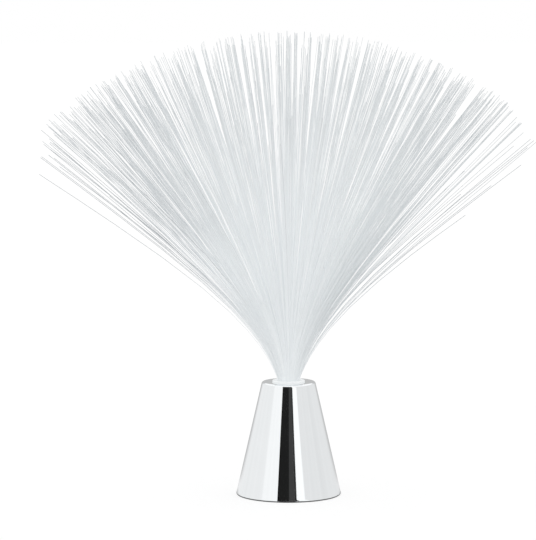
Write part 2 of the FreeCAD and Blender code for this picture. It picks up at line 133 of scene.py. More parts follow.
TRIM_STEP = 2.0
DOME_SEED = 20
SPOT_SCATTER = 0.02
CLUMPS = 230
CLUMP_REACH = 1.02
CLUMP_SCATTER = (0.03, 9.0)           # in share and in turn
CLUMP_PULL = (0.5, 1.0)
CLUMP_LATENESS = 1.5                  # the higher, the nearer the tip a clump draws together
LOOSE_CHANCE = 0.1
LOOSE_SCATTER = 0.05
EDGE_REACH = 0.8                      # share from which a fibre may tilt out of the dome
EDGE_CHANCE = (0.25, 0.11)            # in the middle, and how much less at the right
EDGE_TILT = (4.0, 12.0)               # mean and most
EDGE_GAIN = 2.5                       # how much longer fibres are at the dome's edge
SHORTFALL = (3.5, 16.0)               # how far a cut tip falls short: mean and most
SHORTFALL_PER_TILT = 0.5
DROOP_MOST = 4.0
LOCK_SEED = 9
LOCK_LEAN = 60.0
LOCK_STEP = (0.5, 2.0)                # from one lock of fibres to the next, seen from the front
LOCK_HOLD = (0.5, 1.1)
LOCK_PULL = (0.1, 0.6)
CLOSE_LEANS = (-43.0, -18.0)          # where the locks hang closer together
CLOSE_HOLD = 0.3
COMB_ROUNDS = 3
COMB_GAIN = 0.85
COMB_LATENESS = (1.8, 4.0)
PARTINGS = (                          # lean seen from the front, and half width
    (-47.0, 0.30), (-43.5, 0.35), (-40.0, 0.15), (-36.5, 0.10), (-32.2, 0.22), (-28.4, 0.22),
    (-25.0, 0.08), (-22.5, 0.25), (-18.6, 0.15), (-15.2, 0.50), (-11.5, 0.20), (-8.5, 0.40),
    (-5.2, 0.20), (-2.6, 0.30), (-0.6, 0.25), (1.8, 0.35), (4.3, 0.50), (7.0, 0.20), (9.3, 0.40),
    (12.4, 0.20), (15.0, 0.15), (18.2, 0.30), (21.2, 0.35), (24.5, 0.25), (27.6, 0.20),
    (32.2, 0.60), (35.6, 0.20), (38.5, 0.35), (42.0, 0.50), (46.0, 0.50))
GRAIN_SEED = 5

# Finishes
PLASTIC_IOR = 1.49
FIBRE_PAINTED_GLOW = 0.189                    # painted glow, standing in for light that the crowd passes on to a fibre
COLLAR_PAINTED_GLOW = 0.14                    # painted glow that lifts the collar out of the dome's shade, standing in for light from the bundle
GRAIN_RANGE = (0.3, 0.7)

# Table, in metres: the lamp's rim covers the edge of an opening, through which the underside shows
FLOOR_R = 7.0
FLOOR_HOLE_R = 0.0362
FLOOR_SIDES = 96
FLOOR_COLOUR = 0.30
FLOOR_GLOW = 0.72
FLOOR_LIT = (0.045, 0.10)             # where shiny parts see the lit part of the table end
FLOOR_SHADE = (0.0395, 0.0435)        # where the shade painted round the lamp's rim, seen by shiny parts, ends
# how dark the painted shade at the rim is
FLOOR_PAINTED_SHADE_TONE = 0.25
FLOOR_FRONT = ((-13.5, -12.0), (8.5, 9.5))   # azimuths where the dark reflection painted in front starts and ends
# how far the painted dark reflection in front dims it
FLOOR_PAINTED_FRONT_DIM = 0.9

# Studio: how bright shiny parts see it. Azimuth is measured from straight in front, right positive.
# A band is its start, its end, how soft both are, and how far its end moves out per degree lower.
RADIAN = 57.29578
WALL_LEFT = 0.90
WALL_RIGHT = 0.83
WALL_TURN = 30.0                      # azimuth to either side at which one of the two is reached
WALL_BEHIND = 0.55
BEHIND_START = (135.0, 158.0)
WALL_UNEVEN = 0.10
UNEVEN_PER_DEGREE = 0.11
CEILING = 1.06
CEILING_START = (24.0, 28.0)          # height above level
LEFT_SCREEN = (-62.0, -20.0, 4.0)
LEFT_SCREEN_GAIN = 0.105
RIGHT_SCREEN = (14.0, 31.0, 0.7, 1.85)
RIGHT_SCREEN_GAIN = 0.25
CORNER = (80.0, 92.0, 5.0)
CORNER_DIM = 0.03
OPENING = (-25.2, 15.5, 0.5, 1.2)
OPENING_TOP = (22.6, 23.2)            # height above level
LEFT_GLOOM = (-23.0, 1.0, 0.8)
LEFT_GLOOM_TONE = 0.014
RIGHT_GLOOM = (1.0, 12.8, 1.0, 1.2)
RIGHT_GLOOM_TONE = 0.05
FLANK_HEIGHT = 17.4                   # height above level that the cone's top mirrors


# ---------------------------------------------------------------- finishes

class Flow:
    """What comes out of a node, ready for sums."""

    def __init__(self, finish, socket):
        self.finish = finish
        self.socket = socket

    def sum(self, operation, first, second):
        return self.finish.node("ShaderNodeMath", {"operation": operation}, {0: first, 1: second})

    def __add__(self, other):
        return self.sum("ADD", self, other)

    def __sub__(self, other):
        return self.sum("SUBTRACT", self, other)

    def __rsub__(self, other):
        return self.sum("SUBTRACT", other, self)

    def __mul__(self, other):
        return self.sum("MULTIPLY", self, other)

    def __truediv__(self, other):
        return self.sum("DIVIDE", self, other)

    __radd__ = __add__
    __rmul__ = __mul__


class Finish:
    """A node tree under construction, of a material or of the world."""

    def __init__(self, owner):
        owner.use_nodes = True
        self.owner = owner
        self.tree = owner.node_tree
        self.tree.nodes.clear()

    def node(self, kind, settings=None, sockets=None, output=0):
        """Adds a node, sets its settings and then its sockets, and gives one of its outputs."""
        made = self.tree.nodes.new(kind)
        for name, value in (settings or {}).items():
            setattr(made, name, value)
        for name, value in (sockets or {}).items():
            if isinstance(value, Flow):
                self.tree.links.new(value.socket, made.inputs[name])
            else:
                made.inputs[name].default_value = value
        return Flow(self, made.outputs[output]) if len(made.outputs) else made

    def mix(self, factor, first, second):
        """A colour between two colours."""
        return self.node("ShaderNodeMix", {"data_type": "RGBA"}, {0: factor, 6: first, 7: second}, 2)

    def noise(self, place, scale, detail=2.0, roughness=0.5):
        return self.node("ShaderNodeTexNoise", None,
                         {"Vector": place, "Scale": scale, "Detail": detail, "Roughness": roughness})

    def ease(self, value, start, end, before=0.0, after=1.0):
        """Runs smoothly from before to after as value goes from start to end."""
        return self.node("ShaderNodeMapRange", {"interpolation_type": "SMOOTHSTEP"},
                         {0: value, 1: start, 2: end, 3: before, 4: after})

    def polish(self, grain, smooth, rough):
        """Roughness that follows a grain."""
        return self.ease(grain, *GRAIN_RANGE, smooth, rough)

    def place(self):
        """Where a point lies on the object, in metres."""
        return self.node("ShaderNodeTexCoord", None, None, 3)

    def axes(self, vector, count):
        """The first numbers of a vector, one by one."""
        return [self.node("ShaderNodeSeparateXYZ", None, {0: vector}, i) for i in range(count)]

    def bump(self, height, distance):
        return self.node("ShaderNodeBump", None, {"Height": height, "Distance": distance})

    def surface(self, **sockets):
        """The material's shader, with its sockets named by words joined with underscores."""
        named = {name.replace("_", " "): value for name, value in sockets.items()}
        shader = self.node("ShaderNodeBsdfPrincipled", None, named)
        self.node("ShaderNodeOutputMaterial", None, {"Surface": shader})
        return self.owner


def new_finish(name):
    return Finish(bpy.data.materials.new(name))


def tone(red, green, blue):
    """A colour given as it looks on screen, 0 to 255."""
    def straight(c):
        c /= 255.0
        return c / 12.92 if c <= 0.04045 else ((c + 0.055) / 1.055) ** 2.4
    return (straight(red), straight(green), straight(blue), 1.0)


def grey(level):
    return (level, level, level, 1.0)


def chrome_plating():
    """Mirror plating with a slight haze, over a moulding that isn't quite even."""
    finish = new_finish("chrome_plating")
    place = finish.place()
    haze = finish.noise(place, scale=90.0, detail=3.0)
    ripple = finish.noise(place, scale=16.0, detail=1.0)
    return finish.surface(
        Base_Color=finish.mix(haze, (0.896, 0.919, 0.931, 1.0), (0.926, 0.945, 0.957, 1.0)),
        Metallic=1.0,
        Roughness=finish.polish(haze, 0.025, 0.05),
        Normal=finish.bump(ripple, 0.00004),
    )


def fibre_plastic():
    """Clear rod with a painted glow inside the crowd, standing in for the light that its neighbours
    pass on. Fibres that lean left or right get painted shade, and lone fibres get deeper painted
    shade and no painted glow."""
    finish = new_finish("fibre_plastic")
    tilt, grain, crowd = (finish.node("ShaderNodeAttribute", {"attribute_name": name}, None, 2)
                          for name in ("tilt", "grain", "crowd"))
    place = finish.place()
    x, y = finish.axes(place, 2)
    sideways = x * x / (x * x + y * y + 1e-7)
    apart = finish.ease(crowd, 0.35, 0.85, 1.0, 0.0)
    left = finish.ease(x, -0.004, 0.004, 1.0, 0.0)
    left_hold = finish.ease(crowd, 0.40, 0.58, 1.0, 0.25)
    right_hold = finish.ease(crowd, 0.6, 1.0, 1.0, 0.4)
    # painted shade on fibres leaning out at the left and right, less of it near the root
    side = finish.ease(tilt, 22.0, 40.0) * sideways * (left * left_hold + (1 - left) * right_hold)
    # painted shade on steeply tilted lone fibres, towards their tips
    lone_painted_shade = finish.ease(tilt, 46.5, 52.0) * apart
    body = finish.mix(grain * 0.38, tone(234, 237, 238), tone(190, 196, 201))
    # the painted side shade deepens the body
    body = finish.mix(side * (0.42 + left * 0.28), body, tone(200, 205, 208))
    # painted glow: strongest where the crowd is dense, halved with the painted side shade, none on lone
    # fibres
    spread = 1 - crowd
    crowded = (1 - spread * spread * spread) * 0.94 + finish.ease(crowd, 0.7, 0.95) * 0.06
    painted_glow = crowded * (1 - lone_painted_shade) * (1 - side * 0.5)
    return finish.surface(
        # lone fibres painted a deeper tone
        Base_Color=finish.mix(lone_painted_shade, body, tone(180, 185, 189)),
        Roughness=finish.ease(grain, 0.0, 1.0, 0.18, 0.32),
        IOR=PLASTIC_IOR,
        # painted glow
        Emission_Color=finish.mix(painted_glow, grey(0.0), grey(FIBRE_PAINTED_GLOW)),
        Emission_Strength=1.0,
    )


def cast_resin():
    finish = new_finish("cast_resin")
    cloud = finish.noise(finish.place(), scale=900.0, detail=3.0)
    return finish.surface(
        Base_Color=finish.mix(cloud, tone(222, 227, 229), tone(236, 240, 241)),
        Roughness=finish.polish(cloud, 0.15, 0.3),
        IOR=PLASTIC_IOR,
    )


def collar_plastic():
    finish = new_finish("collar_plastic")
    mottle = finish.noise(finish.place(), scale=350.0, detail=3.0)
    return finish.surface(
        Base_Color=finish.mix(mottle, tone(237, 240, 241), tone(244, 246, 247)),
        Roughness=finish.polish(mottle, 0.28, 0.4),
        Normal=finish.bump(mottle, 0.00001),
        # painted glow that lifts the collar out of the shade under the dome
        Emission_Color=grey(COLLAR_PAINTED_GLOW),
        Emission_Strength=1.0,
    )


def black_plastic(name, pebble_scale, pebble_height, shade):
    """Moulded black with a fine pebbled texture and a little dust."""
    finish = new_finish(name)
    place = finish.place()
    pebbles = finish.node("ShaderNodeTexVoronoi", {"feature": "SMOOTH_F1"},
                          {"Vector": place, "Scale": pebble_scale})
    dust = finish.noise(place, scale=60.0, detail=5.0, roughness=0.65)
    return finish.surface(
        Base_Color=finish.mix(dust, tone(shade, shade, shade + 1), tone(shade + 9, shade + 9, shade + 11)),
        Roughness=finish.ease(dust, 0.25, 0.75, 0.42, 0.58),
        Normal=finish.bump(pebbles, pebble_height),
    )


def nickel_plate():
    """Plated strip and wire, with the drawn streaks along X."""
    finish = new_finish("nickel_plate")
    drawn = finish.node("ShaderNodeMapping", None, {"Vector": finish.place(), "Scale": (1.0, 14.0, 1.0)})
    streaks = finish.noise(drawn, scale=700.0, detail=4.0)
    return finish.surface(
        Base_Color=finish.mix(streaks, (0.58, 0.56, 0.52, 1.0), (0.74, 0.72, 0.68, 1.0)),
        Metallic=1.0,
        Roughness=finish.polish(streaks, 0.18, 0.34),
        Normal=finish.bump(streaks, 0.000004),
    )


def screw_zinc():
    finish = new_finish("screw_zinc")
    streaks = finish.noise(finish.place(), scale=1500.0, detail=4.0)
    return finish.surface(
        Base_Color=finish.mix(streaks, (0.50, 0.51, 0.53, 1.0), (0.70, 0.71, 0.73, 1.0)),
        Metallic=1.0,
        Roughness=finish.polish(streaks, 0.2, 0.4),
    )


def cell_jacket():
    """Bright can ends with a plain grey sleeve between them."""
    finish = new_finish("cell_jacket")
    place = finish.place()
    along = finish.node("ShaderNodeSeparateXYZ", None, {0: place}, 1)
    reach = finish.node("ShaderNodeMath", {"operation": "ABSOLUTE"}, {0: along})
    sleeve = finish.ease(reach, 0.0205, 0.0207, 1.0, 0.0)
    speckle = finish.noise(place, scale=2500.0, detail=2.0)
    sleeve_grey = finish.mix(speckle, tone(72, 78, 86), tone(86, 92, 100))
    return finish.surface(
        Base_Color=finish.mix(sleeve, (0.62, 0.61, 0.58, 1.0), sleeve_grey),
        Metallic=1 - sleeve,
        Roughness=finish.polish(speckle, 0.24, 0.36),
    )


def board_laminate():
    """Green board with paler tracks under its varnish."""
    finish = new_finish("board_laminate")
    place = finish.place()
    bands = finish.node("ShaderNodeTexWave", {"wave_type": "BANDS", "bands_direction": "X"},
                        {"Vector": place, "Scale": 90.0, "Distortion": 3.0})
    track = finish.ease(bands, 0.55, 0.62)
    weave = finish.noise(place, scale=3000.0, detail=2.0)
    return finish.surface(
        Base_Color=finish.mix(track, tone(24, 82, 52), tone(40, 112, 70)),
        Roughness=finish.polish(weave, 0.3, 0.42),
        Normal=finish.bump(track, 0.00004),
    )


def lamp_chip():
    """White body of the light with a yellow round of phosphor."""
    finish = new_finish("lamp_chip")
    place = finish.place()
    flat = finish.node("ShaderNodeVectorMath", {"operation": "MULTIPLY"}, {0: place, 1: (1.0, 1.0, 0.0)})
    away = finish.node("ShaderNodeVectorMath", {"operation": "LENGTH"}, {0: flat}, 1)
    phosphor = finish.ease(away, 0.00175, 0.00185, 1.0, 0.0)
    return finish.surface(
        Base_Color=finish.mix(phosphor, tone(240, 240, 236), tone(232, 212, 96)),
        Roughness=finish.ease(phosphor, 0.0, 1.0, 0.4, 0.12),
    )


def lead_sleeve(name, deep, pale):
    finish = new_finish(name)
    mottle = finish.noise(finish.place(), scale=800.0, detail=3.0)
    return finish.surface(
        Base_Color=finish.mix(mottle, deep, pale),
        Roughness=finish.polish(mottle, 0.38, 0.5),
        Normal=finish.bump(mottle, 0.00002),
    )


# ---------------------------------------------------------------- cone and collar

def add_piece(name, corners, faces, finish, sharp_degrees):
    """A mesh from corners in millimetres, shaded smooth except at edges sharper than given."""
    mesh = bpy.data.meshes.new(name)
    mesh.from_pydata([(x * MM, y * MM, z * MM) for x, y, z in corners], [], faces)
    mesh.materials.append(finish)
    mesh.shade_smooth()
    mesh.set_sharp_from_angle(angle=math.radians(sharp_degrees))
    piece = bpy.data.objects.new(name, mesh)
    bpy.context.scene.collection.objects.link(piece)
    return piece


def arc(r, z, radius, start, end, steps):
    """Points of an arc in the (r, z) plane, its angles measured from outwards."""
    points = []
    for i in range(steps + 1):
        a = math.radians(start + (end - start) * i / steps)
        points.append((r + radius * math.cos(a), z + radius * math.sin(a)))
    return points


def column_faces(sides, count, closed):
    """Faces between the sides' columns of corners, count in each, round an axis."""
    faces = []
    for i in range(sides):
        here, there = i * count, (i + 1) % sides * count
        for j in range(count if closed else count - 1):
            k = (j + 1) % count
            faces.append((here + j, there + j, there + k, here + k))
    return faces


def lathe(outline, sides):
    """Corners and faces of a closed (r, z) outline turned about the lamp's axis."""
    corners = []
    for i in range(sides):
        a = 2 * math.pi * i / sides
        corners += [(r * math.cos(a), r * math.sin(a), z) for r, z in outline]
    return corners, column_faces(sides, len(outline), closed=True)


def cone_r(z):
    return CONE_BASE_R - (CONE_BASE_R - CONE_TOP_R) * z / CONE_H


def plated_cone(finish):
    """Shell with a rounded foot, a rounded shoulder, a flat land and its centre hole."""
    slope = math.atan((CONE_BASE_R - CONE_TOP_R) / CONE_H)
    lean = math.degrees(slope)

    def edge(z, radius, start, end, steps):
        centre_r = cone_r(0) - (radius + z * math.sin(slope)) / math.cos(slope)
        return arc(centre_r, z, radius, start, end, steps)

    foot = edge(FOOT_EDGE_R, FOOT_EDGE_R, -90, lean, steps=10)
    shoulder = edge(CONE_H - SHOULDER_EDGE_R, SHOULDER_EDGE_R, lean, 90, steps=14)
    flank = [(cone_r(z), z) for z in FLANK_Z]
    hole = arc(LAND_HOLE_R + LAND_HOLE_EDGE_R, CONE_H - LAND_HOLE_EDGE_R, LAND_HOLE_EDGE_R, 90, 180, steps=4)
    ceiling_z = CONE_H - LAND_T
    inwards, down = CEILING_BEVEL
    outwards, up = RIM_BEVEL
    inside = [(LAND_HOLE_R, ceiling_z), (cone_r(ceiling_z) - CONE_WALL - inwards, ceiling_z)]
    inside += [(cone_r(z) - CONE_WALL, z) for z in (ceiling_z - down, INSIDE_Z, up)]
    inside += [(cone_r(0) - CONE_WALL + outwards, 0.0)]
    corners, faces = lathe(foot + flank + shoulder + hole + inside, CONE_SIDES)
    piece = add_piece("plated_cone", corners, faces, finish, sharp_degrees=40)
    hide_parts("cone_shell")
    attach(piece, "lamp")


def white_collar(finish):
    """Flange with a rounded rim on a tube that grips the bundle."""
    rim = arc(FLANGE_R - FLANGE_EDGE_R, FLANGE_TOP_Z - FLANGE_EDGE_R, FLANGE_EDGE_R, 0, 90, steps=6)
    mouth = arc(COLLAR_BORE_R + COLLAR_MOUTH_EDGE_R, FLANGE_TOP_Z - COLLAR_MOUTH_EDGE_R,
                COLLAR_MOUTH_EDGE_R, 90, 180, steps=6)
    outline = [(COLLAR_BORE_R, COLLAR_FOOT_Z), (COLLAR_TUBE_R, COLLAR_FOOT_Z), (COLLAR_TUBE_R, CONE_H),
               (FLANGE_R, CONE_H)] + rim + mouth
    corners, faces = lathe(outline, COLLAR_SIDES)
    piece = add_piece("white_collar", corners, faces, finish, sharp_degrees=40)
    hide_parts("ferrule")
    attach(piece, "lamp")


# ---------------------------------------------------------------- underside

def cross_r(angle):
    """Radius of the driver's cross at an angle in radians."""
    c, s = max(abs(math.cos(angle)), 1e-6), max(abs(math.sin(angle)), 1e-6)
    arm, half = CROSS_ARM
    return max(min(arm / c, half / s), min(half / c, arm / s))


def screw_outline(angle):
    """(r, z) from the floor of the cross over the head and up the thread to the tip."""
    low, seat = SCREW_HEAD_Z
    seat_gap, tip_gap = THREAD_GAPS
    r = cross_r(angle)
    outline = [(r * CROSS_FLOOR, low + CROSS_DEPTH), (r, low)]
    outline += arc(SCREW_HEAD_R - SCREW_HEAD_EDGE_R, low + SCREW_HEAD_EDGE_R,
                   SCREW_HEAD_EDGE_R, -90, 0, steps=5)
    outline += [(SCREW_HEAD_R, seat), (SCREW_SHANK_R, seat)]
    z = seat + seat_gap
    while z < SCREW_TIP_Z - tip_gap:
        turn = 2 * math.pi * z / THREAD_PITCH - angle
        outline.append((SCREW_SHANK_R - THREAD_DEPTH * (0.5 + 0.5 * math.cos(turn)), z))
        z += THREAD_PITCH / THREAD_RINGS
    return outline + [(SCREW_TIP_R, SCREW_TIP_Z)]


def base_screw(index, finish):
    """Pan-head screw with a cross recess and a cut thread."""
    corner = math.degrees(math.atan(CROSS_ARM[1] / CROSS_ARM[0]))
    quarter = (0.0, corner) + SCREW_HEAD_ANGLES + (90.0 - corner,)
    angles = [math.radians(90 * i + a) for i in range(4) for a in quarter]
    middle = math.radians(SCREW_TURNS[index])
    x, y = SCREW_CIRCLE_R * math.cos(middle), SCREW_CIRCLE_R * math.sin(middle)
    corners = []
    for a in angles:
        outline = screw_outline(a)
        corners += [(x + r * math.cos(a), y + r * math.sin(a), z) for r, z in outline]
    count, sides = len(outline), len(angles)
    faces = column_faces(sides, count, closed=False)
    faces.append(tuple(i * count for i in reversed(range(sides))))
    faces.append(tuple(i * count + count - 1 for i in range(sides)))
    piece = add_piece(f"cross_screw_{index + 1}", corners, faces, finish, sharp_degrees=40)
    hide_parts(f"base_screw_{index + 1}")
    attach(piece, "lamp")


def raised_word(word, x, y, finish):
    """Moulded letters on the underside, to be read from below."""
    letters = bpy.data.curves.new(word, "FONT")
    letters.body = word
    letters.size = LETTER_SIZE * MM
    letters.extrude = LETTER_DEPTH * MM
    letters.align_x = "CENTER"
    letters.align_y = "CENTER"
    drawn = bpy.data.objects.new(word, letters)
    bpy.context.scene.collection.objects.link(drawn)
    mesh = bpy.data.meshes.new_from_object(drawn.evaluated_get(bpy.context.evaluated_depsgraph_get()))
    bpy.data.objects.remove(drawn)
    mesh.materials.clear()
    mesh.materials.append(finish)
    piece = bpy.data.objects.new(f"word_{word.lower()}", mesh)
    piece.location = (x * MM, y * MM, PLATE_Z * MM)
    piece.rotation_euler = (math.pi, 0.0, 0.0)
    bpy.context.scene.collection.objects.link(piece)
    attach(piece, "lamp")


def door_arrow(finish):
    """Moulded arrow on the battery door, pointing to the latch."""
    count = len(ARROW)
    corners = [(x, ARROW_Y + y, z) for z in (PLATE_Z - ARROW_PROUD, PLATE_Z + ARROW_SUNK) for x, y in ARROW]
    faces = [tuple(reversed(range(count))), tuple(range(count, 2 * count))]
    faces += [(i, (i + 1) % count, count + (i + 1) % count, count + i) for i in range(count)]
    piece = add_piece("door_arrow", corners, faces, finish, sharp_degrees=20)
    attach(piece, "battery_door")


def soften(node, width):
    """Takes the sharpness off a moulded node's edges."""
    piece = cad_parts[node]
    weld = piece.modifiers.new("weld", "WELD")
    weld.merge_threshold = WELD_GAP * MM
    bevel = piece.modifiers.new("edges", "BEVEL")
    bevel.width = width * MM
    bevel.segments = 2
    bevel.limit_method = "ANGLE"
    bevel.angle_limit = math.radians(SOFT_EDGE_ANGLE)
    bevel.harden_normals = True


# ---------------------------------------------------------------- fibres

def heading(tilt, turn):
    """Unit direction from a tilt off upright and a turn about the axis, both in radians."""
    return Vector((math.sin(tilt) * math.cos(turn), math.sin(tilt) * math.sin(turn), math.cos(tilt)))


def dome_tilt(share, turn):
    """Final tilt at a share of the way out to the dome's edge and a turn in radians."""
    return DOME_TILT * share * (1 - DOME_LEAN * math.cos(turn))


def dome_spot(share, azimuth):
    """A direction in the dome as a flat point, so that nearby fibres are near each other."""
    a = math.radians(azimuth)
    return Vector((share * math.cos(a), share * math.sin(a)))


class Fibre:
    """One fibre: where it starts, its own spot in the dome, its clump's spot and how it hangs."""

    def __init__(self, root_spot, spot, clump, extra_tilt, length, droop=0.0, lateness=3.0):
        self.root = Vector((root_spot.x * ROOT_R, root_spot.y * ROOT_R, ROOT_Z))
        self.spot = spot
        self.clump = clump
        self.extra_tilt = extra_tilt
        self.length = length
        self.droop = droop
        self.lateness = lateness      # the higher, the nearer the tip it is combed aside
        self.combing = 0.0            # how far sideways in the dome it is combed at the tip

    def spot_at(self, share):
        """The spot that it heads for at a share of its length."""
        drawn = self.spot.lerp(self.clump, share ** CLUMP_LATENESS)
        return drawn + Vector((self.combing * share ** self.lateness, 0.0))

    def tip_tilt(self):
        spot = self.spot_at(1.0)
        return dome_tilt(spot.length, math.atan2(spot.y, spot.x)) + self.extra_tilt


def fibre_line(fibre):
    """Points along a fibre that leaves the bundle nearly upright, settles into its own tilt, and
    is drawn towards the tips of its clump further out."""
    points, at, run = [], fibre.root.copy(), 0.0
    length = fibre.length
    stray = min(1.0, fibre.extra_tilt / (STRAY_TILT - DOME_TILT))
    bend = BEND_LENGTH[0] + (BEND_LENGTH[1] - BEND_LENGTH[0]) * stray
    head_start = BEND_HEAD_START[0] + (BEND_HEAD_START[1] - BEND_HEAD_START[0]) * stray
    for stop in FIBRE_STOPS:
        goal = length * stop / FIBRE_STOPS[-1]
        while run < goal - 1e-6:
            step = min(FIBRE_STEP, goal - run)
            middle = run + step / 2
            settled = 1 - math.exp(-(middle + head_start) / bend)
            spot = fibre.spot_at(middle / length)
            turn = math.atan2(spot.y, spot.x)
            tilt = (dome_tilt(spot.length, turn) + fibre.extra_tilt) * settled
            tilt += fibre.droop * (middle / length) ** 2
            at = at + heading(math.radians(tilt), turn) * step
            run += step
        points.append(at.copy())
    return points


def fibre_tube(points, corners, faces):
    """Adds a thin round rod along the points."""
    start = len(corners)
    for i, point in enumerate(points):
        way = (points[min(i + 1, len(points) - 1)] - points[max(i - 1, 0)]).normalized()
        across = way.orthogonal().normalized() if i == 0 else (across - way * across.dot(way)).normalized()
        other = way.cross(across)
        for j in range(FIBRE_SIDES):
            a = 2 * math.pi * j / FIBRE_SIDES
            corners.append(tuple(point + (across * math.cos(a) + other * math.sin(a)) * FIBRE_R))
    for i in range(len(points) - 1):
        for j in range(FIBRE_SIDES):
            k = (j + 1) % FIBRE_SIDES
            a = start + i * FIBRE_SIDES
            b = a + FIBRE_SIDES
            faces.append((a + j, a + k, b + k, b + j))
    last = start + (len(points) - 1) * FIBRE_SIDES
    faces.append(tuple(last + j for j in range(FIBRE_SIDES)))
    faces.append(tuple(start + j for j in reversed(range(FIBRE_SIDES))))


def fitted_line(fibre):
    """A fibre's points, shortened until its tip lies within the lamp's reach."""
    points = fibre_line(fibre)
    while abs(points[-1].x) > REACH_LIMIT[0] or abs(points[-1].y) > REACH_LIMIT[1]:
        fibre.length -= TRIM_STEP
        points = fibre_line(fibre)
    return points


def front_lean(tip):
    """How far a tip leans to the side, seen from in front of the lamp."""
    eye_y, eye_z = CAMERA_AT[1] / MM, CAMERA_AT[2] / MM
    nearness = eye_y / (eye_y - tip.y)
    return math.degrees(math.atan2(tip.x * nearness, eye_z + (tip.z - eye_z) * nearness - ROOT_Z))


def parted(lean):
    """A lean moved out of the clear partings."""
    for middle, half in PARTINGS:
        off = lean - middle
        if abs(off) < 2 * half:
            return middle + math.copysign(half + abs(off) / 2, off)
    return lean


def comb(fibre, locks, pull):
    """Moves a fibre sideways until its tip, seen from the front, comes closer to its lock and
    clear of the partings."""
    lean = front_lean(fibre_line(fibre)[-1])
    lock, hold = min(locks, key=lambda lock: abs(lock[0] - lean))
    goal = parted(lean + (lock - lean) * pull * hold)
    for _ in range(COMB_ROUNDS):
        fibre.combing += (goal - lean) / DOME_TILT * COMB_GAIN * (fibre.lateness + 1)
        lean = front_lean(fibre_line(fibre)[-1])


def lock_leans(chance):
    """Lean and hold of each lock of fibres, from left to right."""
    locks = [(-LOCK_LEAN, 1.0)]
    while locks[-1][0] < LOCK_LEAN:
        lean = locks[-1][0] + chance.uniform(*LOCK_STEP)
        close = CLOSE_LEANS[0] < lean < CLOSE_LEANS[1]
        locks.append((lean, chance.uniform(*LOCK_HOLD) * (CLOSE_HOLD if close else 1.0)))
    return locks


def clump_spots(chance):
    """Where in the dome the tips of neighbouring fibres gather."""
    by_share, by_turn = CLUMP_SCATTER
    spots = []
    for i in range(CLUMPS):
        share = math.sqrt((i + 0.5) / CLUMPS) * CLUMP_REACH + chance.uniform(-by_share, by_share)
        spots.append(dome_spot(share, GOLDEN_ANGLE * i + chance.uniform(-by_turn, by_turn)))
    return spots


def fibre_plan():
    """Every fibre of the dome, and then those at its edge and beyond it that are listed."""
    chance = random.Random(DOME_SEED)
    lock_chance = random.Random(LOCK_SEED)
    locks = lock_leans(lock_chance)
    clumps = clump_spots(chance)
    plan = []
    for i in range(FIBRES):
        share = math.sqrt((i + 0.5) / FIBRES)
        even = dome_spot(share, GOLDEN_ANGLE * i)
        spot = even + Vector((chance.gauss(0, SPOT_SCATTER), chance.gauss(0, SPOT_SCATTER)))
        nearest = min(clumps, key=lambda c: (c - spot).length_squared)
        clump = spot.lerp(nearest, chance.uniform(*CLUMP_PULL))
        if chance.random() < LOOSE_CHANCE:
            clump = spot + Vector((chance.gauss(0, LOOSE_SCATTER), chance.gauss(0, LOOSE_SCATTER)))
        reach = min(clump.length, 1.0)
        extra = 0.0
        if reach > EDGE_REACH and chance.random() < EDGE_CHANCE[0] - EDGE_CHANCE[1] * clump.x:
            extra = min(chance.expovariate(1 / EDGE_TILT[0]), EDGE_TILT[1])
        shortfall = min(chance.expovariate(1 / SHORTFALL[0]), SHORTFALL[1])
        length = TOP_Z - ROOT_Z + EDGE_GAIN * reach - shortfall - extra * SHORTFALL_PER_TILT
        droop = chance.uniform(0, DROOP_MOST) * reach
        fibre = Fibre(even, spot, clump, extra, length, droop, lock_chance.uniform(*COMB_LATENESS))
        comb(fibre, locks, chance.uniform(*LOCK_PULL))
        plan.append(fibre)
    for turn, tilt, length in STRAYS:
        spot = dome_spot(1.0, turn)
        plan.append(Fibre(spot, spot, spot, tilt - dome_tilt(1.0, math.radians(turn)), length))
    return plan


def fibre_tufts(finish):
    """The dome's fibres, in twelve pieces by azimuth."""
    chance = random.Random(GRAIN_SEED)
    tufts = [([], [], [], [], []) for _ in range(TUFTS)]
    for fibre in fibre_plan():
        turn = math.atan2(fibre.clump.y, fibre.clump.x)
        corners, faces, tilt, grain, crowd = tufts[int(math.degrees(turn) % 360 * TUFTS / 360)]
        before = len(corners)
        fibre_tube(fitted_line(fibre), corners, faces)
        added = len(corners) - before
        tilt += [fibre.tip_tilt()] * added
        grain += [chance.random()] * added
        for stop in FIBRE_STOPS:
            crowd += [1 - stop / FIBRE_STOPS[-1]] * FIBRE_SIDES
    for i, (corners, faces, tilt, grain, crowd) in enumerate(tufts):
        piece = add_piece(f"fibres_{i + 1:02d}", corners, faces, finish, sharp_degrees=60)
        for name, values in (("tilt", tilt), ("grain", grain), ("crowd", crowd)):
            piece.data.attributes.new(name, "FLOAT", "POINT").data.foreach_set("value", values)
        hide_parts(f"fibre_tuft_{i + 1:02d}")
        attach(piece, "lamp")


# ---------------------------------------------------------------- studio

def room_tone(finish, x, y):
    """Azimuth of a direction, and how bright the room's walls look there: greyer straight behind."""
    azimuth = finish.node("ShaderNodeMath", {"operation": "ARCTAN2"}, {0: x, 1: y * -1}) * RADIAN
    away = finish.node("ShaderNodeMath", {"operation": "ABSOLUTE"}, {0: azimuth})
    walls = finish.ease(azimuth, -WALL_TURN, WALL_TURN, WALL_LEFT, WALL_RIGHT)
    behind = finish.ease(away, *BEHIND_START)
    return azimuth, walls * (1 - behind) + behind * WALL_BEHIND


